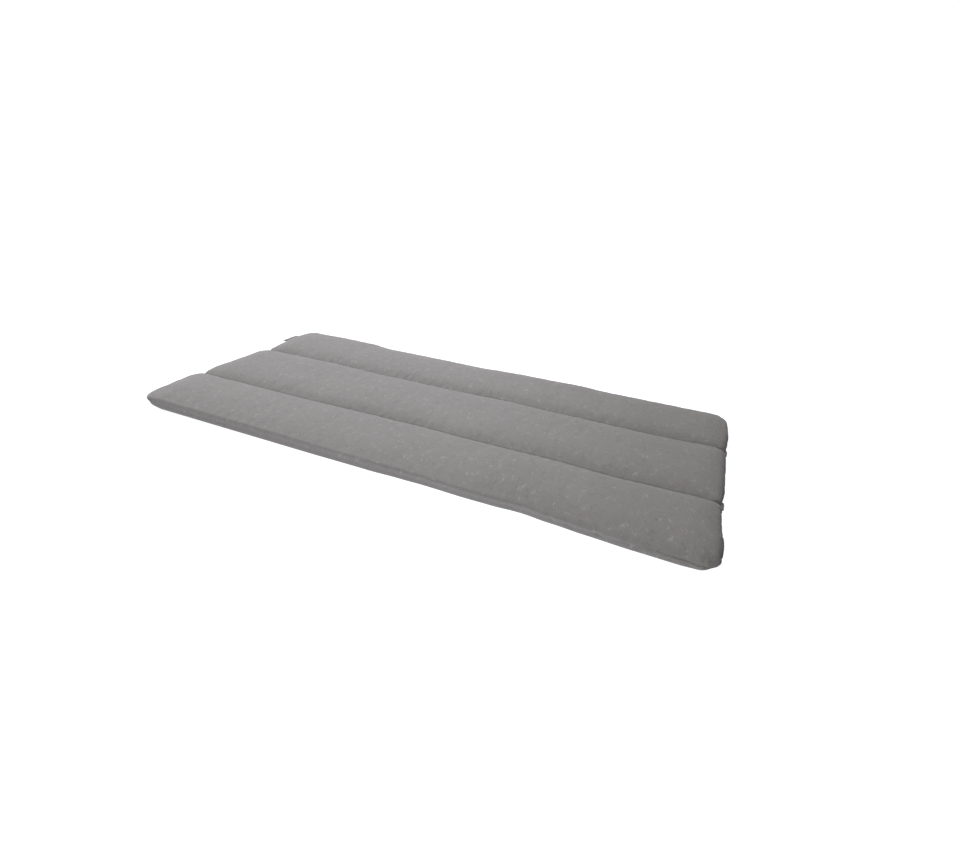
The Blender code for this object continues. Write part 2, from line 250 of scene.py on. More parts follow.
def softSpot(name, settings):
    # a large round lamp with a soft edge to its pool of light
    light = bpy.data.lights.new(name, "SPOT")
    light.shadow_soft_size = settings["size"] / 2
    light.spot_size = math.radians(settings["spread"])
    light.spot_blend = settings["edge"]
    light.color = settings["colour"]
    light.energy = settings["power"]
    lamp = bpy.data.objects.new(name, light)
    bpy.context.scene.collection.objects.link(lamp)
    place = Vector(settings["place"])
    facing = (Vector(settings["aim"]) - place).to_track_quat("-Z", "Y")
    lamp.matrix_world = Matrix.Translation(place) @ facing.to_matrix().to_4x4()


makeCamera()
makeFloor()
makeCards()
makeSurroundings()
softSpot("keyLight", studio["key"])
print("camera, floor, cards and lights made")


pad = {
    "length": 1.300,
    "depth": 0.616,
    "seams": (-0.1220, 0.1105),      # across the pad, from its middle
    "frontCorners": (0.026, 0.028),  # left, right
    "rearCorners": (0.029, 0.036),
    "borderHeight": 0.0275,         # the panels rise from this border by the crown
    "crown": 0.0125,
    "crownReach": 0.080,
    "endCrownReach": 0.060,
    # a channel has a steep shoulder beside its seam, and the panel falls slowly towards it
    "channelDepth": 0.009,
    "channelShoulder": 0.030,
    "panelFall": ((-0.200, 0.0120), (0.150, 0.0095)),
    "panelFallReach": 0.100,
    "endChannelShare": 0.35,
    "lowerChannelDepth": 0.006,
    "lowerChannelShoulder": 0.013,
    # the radius at which the upper cover turns down into the side wall
    "leftRoll": 0.0060,
    "rightRoll": ((-0.300, 0.0140), (-0.260, 0.0120), (-0.200, 0.0080), (-0.140, 0.0080),
                  (-0.070, 0.0160), (0.060, 0.0160), (0.150, 0.0110), (0.280, 0.0090)),
    "rearRoll": 0.0065,
    "frontRoll": ((-0.650, 0.0050), (-0.300, 0.0045), (-0.050, 0.0055), (0.300, 0.0065),
                  (0.480, 0.0090), (0.600, 0.0125)),
    "notchDepths": (0.003, 0.008),   # left, right
    "notchReach": 0.014,
    # where a seam runs out over the top of an end, the cloth is pulled in to a narrow pleat
    "pleatDepths": (0.002, 0.0115),
    "pleatHalf": 0.0019,
    "pleatReach": 0.016,
    # how far in from the rim the unevenness of the walls, the ends and the front dies out
    "wallReach": 0.034,
    "endReach": 0.060,
    "frontReach": 0.090,
    "cornerSag": 0.0045,            # a front corner's border sags, and its wall leans in below it
    "cornerLean": 0.0090,
    "cornerReach": 0.060,
    # how far each side stands out from its straight line, by place along it
    "frontOut": ((-0.190, 0.0000), (-0.020, -0.0015), (0.060, -0.0045), (0.110, -0.0060),
                 (0.200, -0.0045), (0.250, -0.0055), (0.310, -0.0090), (0.370, -0.0045),
                 (0.430, -0.0010), (0.520, 0.0010), (0.600, 0.0015), (0.640, 0.0055)),
    "leftOut": ((-0.305, 0.0070), (-0.270, 0.0060), (-0.240, 0.0050), (-0.200, 0.0095),
                (-0.160, 0.0140), (-0.110, 0.0090), (-0.080, 0.0100), (-0.030, 0.0045),
                (0.030, 0.0025), (0.070, 0.0060), (0.100, 0.0010), (0.130, -0.0010),
                (0.180, 0.0010), (0.230, 0.0060), (0.290, 0.0020)),
    "rightOut": ((-0.305, -0.0020), (-0.280, 0.0055), (-0.245, 0.0060), (-0.205, 0.0004),
                 (-0.160, -0.0010), (-0.130, -0.0008), (-0.095, -0.0008), (-0.060, 0.0026),
                 (0.000, 0.0018), (0.050, 0.0018), (0.100, 0.0008), (0.130, -0.0025),
                 (0.152, 0.0008), (0.200, 0.0022), (0.245, 0.0000), (0.290, -0.0035)),
    # how far the front border stands out over the foot of its wall
    "frontOverhang": ((-0.300, 0.0000), (-0.050, 0.0025), (0.120, 0.0065), (0.320, 0.0070),
                      (0.450, 0.0060), (0.600, 0.0035), (0.640, 0.0005)),
    # how far each seam wanders towards the rear
    "frontDrift": ((-0.610, -0.0045), (-0.490, -0.0035), (-0.370, -0.0035), (-0.090, 0.0020),
                   (0.000, 0.0035), (0.120, -0.0010), (0.200, 0.0015), (0.310, 0.0035),
                   (0.440, -0.0015), (0.520, 0.0010), (0.640, 0.0045)),
    "rearDrift": ((-0.610, -0.0040), (-0.500, 0.0000), (-0.390, 0.0015), (-0.240, -0.0025),
                  (-0.160, -0.0005), (0.020, -0.0005), (0.130, 0.0050), (0.260, 0.0000),
                  (0.330, 0.0010), (0.450, -0.0020), (0.520, -0.0005), (0.640, 0.0085)),
    # how far the rear border sags
    "rearSag": ((-0.600, -0.0010), (-0.510, -0.0025), (-0.410, -0.0020), (-0.340, 0.0035),
                (-0.280, 0.0030), (-0.150, 0.0025), (-0.030, 0.0030), (0.040, 0.0000),
                (0.100, -0.0018), (0.180, -0.0022), (0.260, -0.0038), (0.340, -0.0010),
                (0.560, -0.0015), (0.640, -0.0010)),
    "rearSagReach": 0.090,
    # soft hollows of the upper cover: x, y, half length, half width, drop
    "hollows": ((-0.410, -0.020, 0.160, 0.080, 0.0015), (0.310, -0.230, 0.220, 0.060, 0.0020)),
    # the side wall has a crease at a share of its height, a soft bulge above and below it, and a
    # foot that tucks under. The front wall has its own, and a ledge below the crease at its right
    "creaseShare": 0.52,
    "frontCreaseShare": ((-0.100, 0.52), (0.400, 0.60), (0.600, 0.86)),
    "creaseWidth": 0.050,
    "creaseDepth": 0.0008,
    "frontCrease": ((-0.640, 0.0001), (-0.250, 0.0002), (0.000, 0.0002), (0.300, 0.0001),
                    (0.480, 0.0008), (0.650, 0.0012)),
    "frontLedge": ((0.400, 0.0000), (0.520, 0.0018), (0.650, 0.0026)),
    "bulge": 0.0010,
    "frontBulge": ((-0.450, 0.0010), (-0.150, 0.0002), (0.440, 0.0002), (0.560, 0.0010)),
    "footTuck": 0.0020,
    "footShare": 0.10,
    "fill": 0.75,
}

# Lines of the cover's mesh: insets from an edge, steps to either side of a seam, and shares of the
# wall's height.
padMesh = {
    "edge": (0.0, 0.00015, 0.0005, 0.0010, 0.0017, 0.0026, 0.0038, 0.0053, 0.0072, 0.0096, 0.0126,
             0.0162, 0.0205, 0.0255, 0.0315, 0.0385, 0.0460),
    "seam": (0.0, 0.0006, 0.0014, 0.0025, 0.0040, 0.0060, 0.0085, 0.0117, 0.0156, 0.0203,
             0.0260, 0.0325, 0.0395),
    "wall": (1.0, 0.94, 0.87, 0.79, 0.71, 0.64, 0.58, 0.53, 0.48, 0.43, 0.38, 0.32, 0.26, 0.19, 0.12,
             0.06, 0.02, 0.0),
    "alongStep": 0.0045,
    "acrossStep": 0.0066,
}
halfLength = pad["length"] / 2
halfDepth = pad["depth"] / 2
frontSeam, rearSeam = pad["seams"]
panelSides = (-halfDepth, frontSeam, rearSeam, halfDepth)


def shoulder(share):
    # rises from 0 to 1 as a quarter ellipse does
    left = 1.0 - min(max(share, 0.0), 1.0)
    return math.sqrt(1.0 - left * left)


def fade(share):
    # falls smoothly from 1 to 0
    return 0.5 + 0.5 * math.cos(math.pi * min(max(share, 0.0), 1.0))


def eased(rows, place):
    # what a table's rows give at a place, eased between one row and the next
    if place <= rows[0][0]:
        return rows[0][1]
    for (start, before), (end, after) in zip(rows, rows[1:]):
        if place <= end:
            return after + (before - after) * fade((place - start) / (end - start))
    return rows[-1][1]


def seamDistance(y):
    return min(abs(y - frontSeam), abs(y - rearSeam))


def seamDrift(x, y):
    # how far a point moves across the pad as the seams on either side of it wander
    front = eased(pad["frontDrift"], x)
    rear = eased(pad["rearDrift"], x)
    if y <= frontSeam:
        return front * (y + halfDepth) / (frontSeam + halfDepth)
    if y >= rearSeam:
        return rear * (halfDepth - y) / (halfDepth - rearSeam)
    return front + (rear - front) * (y - frontSeam) / (rearSeam - frontSeam)


def risen(inset, reach):
    # how much of the crown is reached at a distance in from a side
    left = 1.0 - min(inset / reach, 1.0)
    return 1.0 - left * left


def cornerShare(x, y):
    # 1 at the front corners, falling to 0
    return fade(max(halfLength - abs(x), halfDepth + y) / pad["cornerReach"])


def channelDrop(x, y):
    # how far the nearest seam draws the upper cover down
    far = seamDistance(y)
    left = 1.0 - min(far / pad["panelFallReach"], 1.0)
    steep = pad["channelDepth"] * (1.0 - shoulder(far / pad["channelShoulder"]))
    return steep + eased(pad["panelFall"], x) * left * left


def upperHeight(x, y):
    along = risen(halfLength - abs(x), pad["endCrownReach"])
    across = risen(halfDepth - abs(y), pad["crownReach"])
    held = pad["endChannelShare"] + (1.0 - pad["endChannelShare"]) * along
    sag = eased(pad["rearSag"], x) * fade((halfDepth - y) / pad["rearSagReach"])
    sag += sum(depth * fade(math.hypot((x - hx) / halfX, (y - hy) / halfY))
               for hx, hy, halfX, halfY, depth in pad["hollows"])
    sag = sag * along + pad["cornerSag"] * cornerShare(x, y)
    return pad["borderHeight"] + pad["crown"] * along * across - channelDrop(x, y) * held - sag


def wallOut(share, crease, fold, bulge):
    # how far the side wall stands out at a share of its height, with its crease at the share fold
    span = 1.0 - fold if share > fold else fold
    swell = bulge * math.sin(math.pi * abs(share - fold) / span)
    pinch = crease * math.exp(-((share - fold) / pad["creaseWidth"]) ** 2)
    tuck = pad["footTuck"] * max(0.0, 1.0 - share / pad["footShare"]) ** 2
    return swell - pinch - tuck


def planPoint(x, y):
    # rounds the plan's corners: the moved point, its outward direction and its inset from the edge
    corner = pad["rearCorners" if y > 0.0 else "frontCorners"][x > 0.0]
    insetX = halfLength - abs(x)
    insetY = halfDepth - abs(y)
    inset = min(insetX, insetY)
    signX = math.copysign(1.0, x)
    signY = math.copysign(1.0, y)
    outX, outY = (1.0, 0.0) if insetX < insetY else (0.0, 1.0)
    if max(insetX, insetY) < corner:
        radius = corner - inset
        if insetX <= insetY:
            angle = math.pi / 4 * (corner - insetY) / radius
        else:
            angle = math.pi / 2 - math.pi / 4 * (corner - insetX) / radius
        outX, outY = math.cos(angle), math.sin(angle)
        x = signX * (halfLength - corner + radius * outX)
        y = signY * (halfDepth - corner + radius * outY)
    return x, y, signX * outX, signY * outY, inset


def endRoll(x, y):
    return eased(pad["rightRoll"], y) if x > 0.0 else pad["leftRoll"]


def rollRadius(x, y, outX, outY):
    side = pad["rearRoll"] if outY > 0.0 else eased(pad["frontRoll"], x)
    return endRoll(x, y) * outX * outX + side * outY * outY


def endOut(x, y):
    rows = pad["rightOut"] if x > 0.0 else pad["leftOut"]
    return eased(rows, y) - pad["notchDepths"][x > 0.0] * fade(seamDistance(y) / pad["notchReach"])


def pleat(x, y):
    return pad["pleatDepths"][x > 0.0] * math.exp(-(seamDistance(y) / pad["pleatHalf"]) ** 2)


def padPoint(x, y, wallShare=None):
    # where a point of the straight plan lies; with no share of the wall it is on the upper cover
    px, py, outX, outY, inset = planPoint(x, y)
    roll = rollRadius(x, y, outX, outY)
    wallTop = upperHeight(x, y) - roll
    if wallShare is None:
        height = wallTop + roll * shoulder(inset / roll)
        standOut = 0.0
    else:
        height = wallTop * wallShare
        front = max(0.0, -outY)         # 1 on the front wall, falling to 0 round its corners
        crease, bulge, fold = (pad[side] + (eased(pad[own], x) - pad[side]) * front
                               for side, own in (("creaseDepth", "frontCrease"), ("bulge", "frontBulge"),
                                                 ("creaseShare", "frontCreaseShare")))
        lean = pad["cornerLean"] * cornerShare(x, y) * (1.0 - wallShare)
        ledge = eased(pad["frontLedge"], x) * front * fade(wallShare / fold - 0.5)
        standOut = wallOut(wallShare, crease, fold, bulge) + ledge - lean
        standOut *= fade(inset / pad["wallReach"])
        if wallShare == 0.0:
            groove = 1.0 - shoulder(seamDistance(y) / pad["lowerChannelShoulder"])
            height = pad["lowerChannelDepth"] * groove * shoulder(inset / pad["lowerChannelShoulder"])
    endShift = endOut(x, y) * fade((halfLength - abs(x)) / pad["endReach"])
    overhang = eased(pad["frontOverhang"], x) * (1.0 if wallShare is None else wallShare)
    frontShift = (eased(pad["frontOut"], x) + overhang) * fade((halfDepth + y) / pad["frontReach"])
    below = inset if wallShare is None else (1.0 - wallShare) * wallTop
    endShift -= pleat(x, y) * fade(below / pad["pleatReach"]) * abs(outX)
    px += standOut * outX + math.copysign(1.0, x) * endShift
    py += standOut * outY - frontShift + seamDrift(x, y)
    return px, py, height


def aroundRim(x, y):
    # how far round the rim the nearest point of it is, counted from the left end of the front edge
    px, py, outX, outY, _ = planPoint(x, y)
    left, right = pad["frontCorners"]
    rearLeft, rearRight = pad["rearCorners"]
    turn = math.atan2(outY, outX) % (2 * math.pi)
    if outX == 0.0 and outY < 0.0:
        return px + halfLength - left
    start = pad["length"] - left - right
    if outX > 0.0 and outY < 0.0:
        return start + right * (turn - 1.5 * math.pi)
    start += math.pi / 2 * right
    if outX > 0.0 and outY == 0.0:
        return start + py + halfDepth - right
    start += pad["depth"] - right - rearRight
    if outX > 0.0:
        return start + rearRight * turn
    start += math.pi / 2 * rearRight
    if outX == 0.0:
        return start + halfLength - rearRight - px
    start += pad["length"] - rearLeft - rearRight
    if outY > 0.0:
        return start + rearLeft * (turn - math.pi / 2)
    start += math.pi / 2 * rearLeft
    if outY == 0.0:
        return start + halfDepth - rearLeft - py
    return start + pad["depth"] - left - rearLeft + left * (turn - math.pi)


cornersLost = (2 - math.pi / 2) * sum(pad["frontCorners"] + pad["rearCorners"])
rimLength = 2 * (pad["length"] + pad["depth"]) - cornersLost
print("rim %.3f m round" % rimLength)


def spread(start, end, step):
    # evenly spaced lines strictly between two places
    count = max(1, round((end - start) / step))
    return [start + (end - start) * i / count for i in range(1, count)]


def lengthLines():
    left = [-halfLength + inset for inset in padMesh["edge"]]
    right = [-x for x in reversed(left)]
    return left + spread(left[-1], right[0], padMesh["alongStep"]) + right


def depthLines():
    front = [-halfDepth + inset for inset in padMesh["edge"]]
    rear = [-y for y in reversed(front)]
    lines = list(front)
    for seam in pad["seams"]:
        before = [seam - step for step in reversed(padMesh["seam"])]
        after = [seam + step for step in padMesh["seam"][1:]]
        lines += spread(lines[-1], before[0], padMesh["acrossStep"]) + before + after
    return lines + spread(lines[-1], rear[0], padMesh["acrossStep"]) + rear


def flatGrid(columns, lines):
    # a sheet of quads whose corners stand on whole numbers
    bm = bmesh.new()
    bmesh.ops.create_grid(bm, x_segments=columns, y_segments=lines, size=0.5)
    bmesh.ops.translate(bm, verts=bm.verts, vec=(0.5, 0.5, 0.0))
    bmesh.ops.scale(bm, verts=bm.verts, vec=(columns, lines, 1.0))
    bm.verts.index_update()
    return bm


def gridBlock(columns, lines, layers):
    # a closed block of quads whose corners stand on whole numbers
    bm = flatGrid(columns, lines)
    raised = bmesh.ops.extrude_face_region(bm, geom=bm.faces[:] + bm.edges[:], use_keep_orig=True)
    lid = [item for item in raised["geom"] if isinstance(item, bmesh.types.BMVert)]
    bmesh.ops.translate(bm, verts=lid, vec=(0.0, 0.0, layers))
    uprights = [edge for edge in bm.edges if abs(edge.verts[0].co.z - edge.verts[1].co.z) > 0.5]
    bmesh.ops.subdivide_edges(bm, edges=uprights, cuts=layers - 1)
    bmesh.ops.recalc_face_normals(bm, faces=bm.faces)
    return bm


# The upper cover is pressed out by its filling and held at its seams and rim, so that the spare cloth
# gathers by itself. Only the folds that come of it are kept: the crown is the pad's own.
settling = {
    "seed": 11,
    "step": 0.0058,
    "jitter": 0.0004,
    "frames": 20,
    "cloth": {"quality": 6, "mass": 0.25, "tension_stiffness": 30.0, "compression_stiffness": 12.0,
              "shear_stiffness": 8.0, "bending_stiffness": 0.15, "shrink_min": -0.016,
              "use_pressure": True, "uniform_pressure_force": 4.0},
    "broad": 0.060,                 # swellings wider than this are left to the pad's own crown
    "seamReach": 0.012,             # except this close to a seam, where all of them are kept
    "cap": 0.0016,
    "share": 0.55,
    "calm": 0.35,                   # the share of the folds that is left in the middle of a panel
    "calmReach": 0.030,
}


def runningMean(values, reach, axis):
    # a moving average along one axis, with the ends held
    padded = np.concatenate([np.repeat(values.take([0], axis), reach, axis), values,
                             np.repeat(values.take([-1], axis), reach, axis)], axis)
    total = np.cumsum(padded, axis)
    width = 2 * reach + 1
    zero = np.zeros_like(total.take([0], axis))
    total = np.concatenate([zero, total], axis)
    count = values.shape[axis]
    return (total.take(range(width, width + count), axis) - total.take(range(0, count), axis)) / width


def settleCover():
    # how far each point of a coarse grid over the upper cover moves as the filling presses it out
    step = settling["step"]
    xs = [-halfLength] + spread(-halfLength, halfLength, step) + [halfLength]
    ys = [-halfDepth]
    for before, after in zip(panelSides, panelSides[1:]):
        ys += spread(before, after, step) + [after]
    chance = random.Random(settling["seed"])
    bm = flatGrid(len(xs) - 1, len(ys) - 1)
    places = {}
    held = []
    for vert in bm.verts:
        column, line = round(vert.co.x), round(vert.co.y)
        places[vert.index] = (column, line)
        x, y, height = padPoint(xs[column], ys[line])
        onRim = column in (0, len(xs) - 1) or line in (0, len(ys) - 1)
        if onRim or seamDistance(ys[line]) < 1e-6:
            held.append(vert.index)
        else:
            height += chance.uniform(-1.0, 1.0) * settling["jitter"]
        vert.co = (x, y, height)
    cover = finishMesh("settlingCover", bm)
    cover.vertex_groups.new(name="held").add(held, 1.0, "REPLACE")
    start = np.zeros(len(places) * 3)
    cover.data.vertices.foreach_get("co", start)
    cloth = cover.modifiers.new("cloth", "CLOTH")
    for name, value in settling["cloth"].items():
        setattr(cloth.settings, name, value)
    cloth.settings.vertex_group_mass = "held"
    cloth.settings.effector_weights.gravity = 0.0
    cloth.point_cache.frame_start = 1
    cloth.point_cache.frame_end = settling["frames"]
    for number in range(1, settling["frames"] + 1):
        bpy.context.scene.frame_set(number)
    settled = cover.evaluated_get(bpy.context.evaluated_depsgraph_get())
    end = np.zeros(len(places) * 3)
    settled.data.vertices.foreach_get("co", end)
    bpy.data.objects.remove(cover, do_unlink=True)
    bpy.context.scene.frame_set(1)
    shifts = (end - start).reshape(-1, 3)
    moved = np.zeros((len(xs), len(ys), 3))
    for index, place in places.items():
        moved[place] = shifts[index]
    print("cover settled, moving %.1f mm at most" % (1000 * np.abs(moved).max()))
    return np.array(xs), np.array(ys), moved


def coverFolds(fineX, fineY):
    # the settled cover without its broad swellings, capped, at the lines of the finer mesh
    xs, ys, moved = settleCover()
    reach = round(settling["broad"] / settling["step"] / 2)
    broad = moved
    for _ in range(2):
        broad = runningMean(runningMean(broad, reach, 0), reach, 1)
    for seam in pad["seams"]:
        broad = broad * (1.0 - np.exp(-((ys - seam) / settling["seamReach"]) ** 2))[None, :, None]
    folds = (moved - broad) * settling["share"]
    nearEdge = np.minimum.reduce([np.abs(ys - side) for side in panelSides])
    near = np.exp(-(nearEdge / settling["calmReach"]) ** 2)
    folds *= (settling["calm"] + (1.0 - settling["calm"]) * near)[None, :, None]
    size = np.linalg.norm(folds, axis=2, keepdims=True)
    folds *= np.minimum(1.0, settling["cap"] / np.maximum(size, 1e-9))
    folds = np.apply_along_axis(lambda values: np.interp(fineX, xs, values), 0, folds)
    return np.apply_along_axis(lambda values: np.interp(fineY, ys, values), 1, folds)


# Gathers that the sewing pulls into the cloth. Each seam has one row of them on either side, which
# differ in their spacing, in how far they reach from the seam and in their depth.
gathers = {
    "seed": 5,
    "rows": (
        # seam, side, spacing, reach, depth
        (0, -1, (0.016, 0.034), (0.008, 0.020), (0.0002, 0.0008)),
        (0, 1, (0.014, 0.030), (0.010, 0.026), (0.0003, 0.0011)),
        (1, -1, (0.016, 0.034), (0.008, 0.020), (0.0002, 0.0008)),
        (1, 1, (0.012, 0.026), (0.012, 0.034), (0.0004, 0.0015)),
    ),
    # where along the pad they are strongest: place, strength
    "strength": ((-0.64, 0.8), (-0.45, 1.2), (0.20, 1.2), (0.35, 0.6), (0.64, 0.7)),
    "width": (0.0035, 0.0070),
    "flare": (0.7, 0.8),            # share of its width that a gather has at its seam, and gains
    "skew": 0.6,                    # under 1, a gather is deepest nearer its seam than its end
    "slant": 0.35,
}


def seamGathers(xs, ys):
    chance = random.Random(gathers["seed"])
    relief = np.zeros((len(xs), len(ys)))
    for seam, side, spacing, reaches, depths in gathers["rows"]:
        away = (ys - pad["seams"][seam]) * side
        place = -halfLength
        while place < halfLength:
            place += chance.uniform(*spacing)
            reach = chance.uniform(*reaches)
            depth = chance.uniform(*depths) * eased(gathers["strength"], place)
            width = chance.uniform(*gathers["width"])
            slant = chance.uniform(-1.0, 1.0) * gathers["slant"]
            share = away / reach
            rise = np.sin(math.pi * np.clip(share, 0, 1) ** gathers["skew"])
            rise = np.where((share > 0) & (share < 1), rise, 0.0)
            middle = place + slant * away
            atSeam, gained = gathers["flare"]
            across = np.exp(-((xs[:, None] - middle[None, :]) / (width * (atSeam + gained * share))) ** 2)
            relief -= depth * across * rise[None, :]
    return relief


# Small puckers all round the rim, on both sides of the crease, and fewer longer ones that run
# from the crease up over the top border.
rim = {
    "seed": 23,
    "knobs": {"spacing": (0.009, 0.017), "depth": (0.0004, 0.0013), "width": (0.0028, 0.0048)},
    "ticks": {"spacing": (0.030, 0.055), "depth": (0.0004, 0.0012), "width": (0.0035, 0.0060)},
    # how strong they are, by place round the rim from the left end of the front edge
    "strength": ((0.0, 0.8), (0.70, 0.9), (1.10, 1.7), (1.30, 2.0), (1.80, 1.6), (2.10, 0.8)),
    "places": 4000,                 # their depth is worked out at so many places round the rim
    "knobReach": 0.0070,
    "tickInset": 0.020,
    "tickFade": 0.004,              # a tick dies out this far above the crease
    "footShare": 0.08,              # and the puckers below the crease in this share of the wall
}
rimPlaces = np.linspace(0.0, rimLength, rim["places"])


def rimRow(name, chance):
    # how deep the puckers of one kind are, at each of the places round the rim
    row = rim[name]
    depth = np.zeros_like(rimPlaces)
    place = 0.0
    while place < rimLength - row["spacing"][0]:
        place += chance.uniform(*row["spacing"])
        width = chance.uniform(*row["width"])
        away = (rimPlaces - place + rimLength / 2) % rimLength - rimLength / 2
        deepest = chance.uniform(*row["depth"]) * eased(rim["strength"], place)
        depth += deepest * np.exp(-(away / width) ** 2)
    return depth


# Slow unevenness of the filling: how high its lumps are, how wide along the pad, and which share of
# that across it. They and the gathers die out near the rim.
filling = {"seed": 37, "count": 170, "height": 0.0007, "width": (0.030, 0.085), "aspect": (0.5, 0.9),
           "rimReach": 0.030}


def fillingLumps(xs, ys):
    chance = random.Random(filling["seed"])
    relief = np.zeros((len(xs), len(ys)))
    for _ in range(filling["count"]):
        cx = chance.uniform(-halfLength, halfLength)
        cy = chance.uniform(-halfDepth, halfDepth)
        wx = chance.uniform(*filling["width"])
        wy = wx * chance.uniform(*filling["aspect"])
        rise = chance.uniform(-1.0, 1.0) * filling["height"]
        relief += rise * np.outer(np.exp(-((xs - cx) / wx) ** 2), np.exp(-((ys - cy) / wy) ** 2))
    quiet = np.array([shoulder(seamDistance(y) / pad["channelShoulder"]) for y in ys])
    return relief * quiet[None, :]


def makeCover():
    xs, ys = lengthLines(), depthLines()
    shares = padMesh["wall"]
    layers = len(shares) - 1
    lastX, lastY = len(xs) - 1, len(ys) - 1
    fineX, fineY = np.array(xs), np.array(ys)
    relief = seamGathers(fineX, fineY) + fillingLumps(fineX, fineY)
    folds = np.zeros((len(xs), len(ys), 3))
    folds = coverFolds(fineX, fineY)
    chance = random.Random(rim["seed"])
    knobs = rimRow("knobs", chance)
    ticks = rimRow("ticks", chance)

    bm = gridBlock(lastX, lastY, layers)
    levels = bm.verts.layers.int.new("level")
    columns = bm.verts.layers.int.new("column")
    lines = bm.verts.layers.int.new("line")
    for vert in bm.verts:
        column, line, level = (round(value) for value in vert.co)
        vert[columns], vert[lines], vert[levels] = column, line, level
        onTop = level == layers
        vert.co = padPoint(xs[column], ys[line], None if onTop else shares[layers - level])
    bm.normal_update()
    moves = []
    for vert in bm.verts:
        column, line, level = vert[columns], vert[lines], vert[levels]
        x, y = xs[column], ys[line]
        inset = min(halfLength - abs(x), halfDepth - abs(y))
        around = aroundRim(x, y)
        knob, tick = np.interp(around, rimPlaces, knobs), np.interp(around, rimPlaces, ticks)
        share = shares[layers - level]
        out = 0.0
        move = Vector((0.0, 0.0, 0.0))
        if level == layers:
            move = Vector(folds[column, line])
            out = relief[column, line] * (1.0 - fade(inset / filling["rimReach"]))
            out -= tick * fade(inset / rim["tickInset"])
        elif level > 0 or inset == 0.0:
            offCrease = abs(share - pad["creaseShare"]) * pad["borderHeight"]
            out -= knob * fade(offCrease / rim["knobReach"])
            if share > pad["creaseShare"]:
                out -= tick * (1.0 - fade(offCrease / rim["tickFade"]))
            else:
                out *= min(1.0, share / rim["footShare"])
        moves.append(vert.normal * out + move)
    for vert, move in zip(bm.verts, moves):
        vert.co += move
        vert.co.z = max(vert.co.z, 0.0)
    layCloth(bm, columns, lines, levels, lastX, lastY, layers)
    cover = finishMesh("seatPadCover", bm)
    print("cover made, %d faces" % len(cover.data.polygons))
    return cover


def layCloth(bm, columns, lines, levels, lastX, lastY, layers):
    # gives the cover a UV map in metres that follows the cloth, so that the weave lies along it
    top = np.zeros((lastX + 1, lastY + 1, 3))
    foot = np.zeros((lastX + 1, lastY + 1, 3))
    walls = {}
    for vert in bm.verts:
        column, line, level = vert[columns], vert[lines], vert[levels]
        if level == layers:
            top[column, line] = vert.co
        if level == 0:
            foot[column, line] = vert.co
        if column in (0, lastX) or line in (0, lastY):
            walls.setdefault((column, line), {})[level] = vert.co.copy()
    spots = {}                      # how far each point is from the pad's middle, along the cloth
    for name, places in (("top", top), ("foot", foot)):
        alongX = np.zeros((lastX + 1, lastY + 1))
        alongX[1:] = np.cumsum(np.linalg.norm(np.diff(places, axis=0), axis=2), axis=0)
        alongY = np.zeros((lastX + 1, lastY + 1))
        alongY[:, 1:] = np.cumsum(np.linalg.norm(np.diff(places, axis=1), axis=2), axis=1)
        middleX = alongX[lastX // 2:lastX // 2 + 1]
        middleY = alongY[:, lastY // 2:lastY // 2 + 1]
        spots[name] = (alongX - middleX, alongY - middleY)
    drops = {}                      # how far each point of the wall is below its top
    for place, column in walls.items():
        run = 0.0
        drops[place] = {layers: 0.0}
        for level in range(layers - 1, -1, -1):
            run += (column[level] - column[level + 1]).length
            drops[place][level] = run
    uvs = bm.loops.layers.uv.new("cloth")
    for face in bm.faces:
        corners = [(loop, loop.vert[columns], loop.vert[lines], loop.vert[levels]) for loop in face.loops]
        onWall = len({level for _, _, _, level in corners}) > 1
        onEnd = onWall and len({column for _, column, _, _ in corners}) == 1
        x, y = spots["top" if onWall or corners[0][3] == layers else "foot"]
        for loop, column, line, level in corners:
            drop = drops[column, line][level] if onWall else 0.0
            dropX = math.copysign(drop, column - 0.5) if onEnd else 0.0
            dropY = math.copysign(drop, line - 0.5) if not onEnd else 0.0
            loop[uvs].uv = (x[column, line] + dropX, y[column, line] + dropY)


cover = makeCover()
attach(cover, "root")
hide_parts("cushion")


rightTab = {"end": 1, "width": 0.026, "out": 0.0035, "height": 0.0120, "thickness": 0.0030, "droop": 0.0005}
tabs = {
    "left": {"node": "edge_tab_left", "end": -1, "y": 0.222, "width": 0.058, "out": 0.0150,
             "height": 0.0240, "thickness": 0.0030, "droop": 0.0010},
    "rightRear": dict(rightTab, node="edge_tab_right_rear", y=0.122),
    "rightFront": dict(rightTab, node="edge_tab_right_front", y=-0.111),
}
tabCloth = {
    "thickness": 0.0009,
    "sewnIn": 0.005,
    "alongStep": 0.0020,
    "foldSteps": 8,
    "legSteps": 6,
    "wave": 0.0003,                 # a tab's fold is a little wavy
    "waveTurns": 210.0,             # in radians per metre
    "edgePinch": 0.35,              # its two layers close at its sides,
    "edgeDraw": 0.0012,             # and the corners of its fold are drawn in
    "seekStep": 0.0001,
}


def endFace(end, y, height):
    # how far from its middle one end of the pad is, at a place across it and a height
    y -= seamDrift(end * halfLength, y)
    wallTop = upperHeight(end * halfLength, y) - endRoll(end, y)
    if height <= wallTop:
        stands = wallOut(height / wallTop, pad["creaseDepth"], pad["creaseShare"], pad["bulge"])
        return halfLength + endOut(end, y) + stands
    inset = 0.0
    while padPoint(end * (halfLength - inset), y)[2] < height:
        inset += tabCloth["seekStep"]
    return abs(padPoint(end * (halfLength - inset), y)[0])


